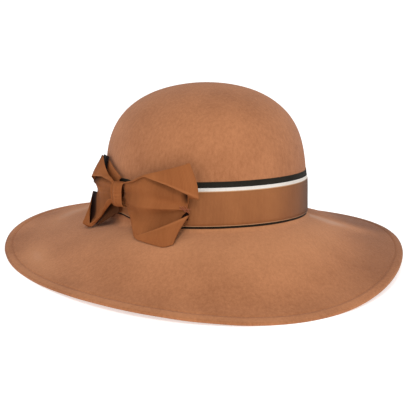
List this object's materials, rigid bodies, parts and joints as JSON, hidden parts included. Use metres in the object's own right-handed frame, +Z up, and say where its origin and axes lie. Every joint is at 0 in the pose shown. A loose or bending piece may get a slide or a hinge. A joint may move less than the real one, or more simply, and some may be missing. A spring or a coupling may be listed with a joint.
{
  "type": "wide brim hat",
  "caption": "Wide brim felt hat with a round crown, a drooping turned-hem brim, a striped ribbon band and a folded ribbon bow at one side.",
  "frame": {"origin": "centre of the bounding box, at the surface that the brim rests on", "axes": "+Z up, -Y towards the wearer's front, +X towards the wearer's left, away from the bow"},
  "size_m": [0.3472, 0.3696, 0.1541],
  "materials": {
    "felt": "matte wool felt, camel brown",
    "brown_ribbon": "ribbed ribbon, copper brown, soft sheen",
    "cream_ribbon": "ribbed ribbon, pinkish cream",
    "black_ribbon": "ribbed ribbon, near black"
  },
  "bodies": {
    "root": {"felt_crown_and_brim": "felt", "band_brown_ribbon": "brown_ribbon", "band_cream_ribbon": "cream_ribbon", "band_black_ribbon": "black_ribbon", "bow_front_wing": "brown_ribbon", "bow_back_wing": "brown_ribbon", "bow_knot": "brown_ribbon"}
  },
  "joints": []
}
